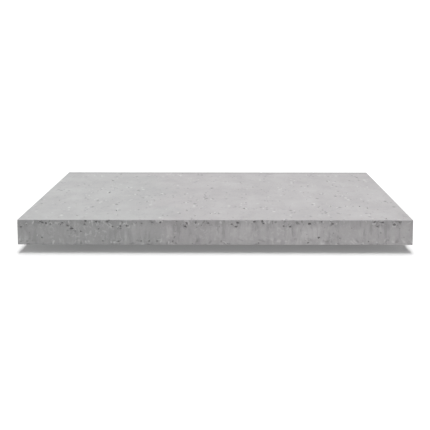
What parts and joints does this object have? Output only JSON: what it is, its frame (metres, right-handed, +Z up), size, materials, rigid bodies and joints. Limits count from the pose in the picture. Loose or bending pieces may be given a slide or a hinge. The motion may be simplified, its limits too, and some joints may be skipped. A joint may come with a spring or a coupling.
{
  "type": "tooling slab",
  "caption": "Square flat slab of grey cast stone with broken edges and air voids, raised on rubber feet, used as a firm base for tooling leather.",
  "frame": {"origin": "on the surface that the feet stand on, under the middle of the slab", "axes": "+Z up through the work surface; +X to the right along the front edge; +Y from the front face to the back"},
  "size_m": [0.305, 0.305, 0.0261],
  "materials": {
    "cast_stone": "matte",
    "foot_rubber": "matte",
    "adhesive_tape": "matte"
  },
  "bodies": {
    "root": {"slab": "cast_stone", "foot_front_left": "foot_rubber", "foot_front_right": "foot_rubber", "foot_back_left": "foot_rubber", "foot_back_right": "foot_rubber", "adhesive_front_left": "adhesive_tape", "adhesive_front_right": "adhesive_tape", "adhesive_back_left": "adhesive_tape", "adhesive_back_right": "adhesive_tape"}
  },
  "joints": []
}
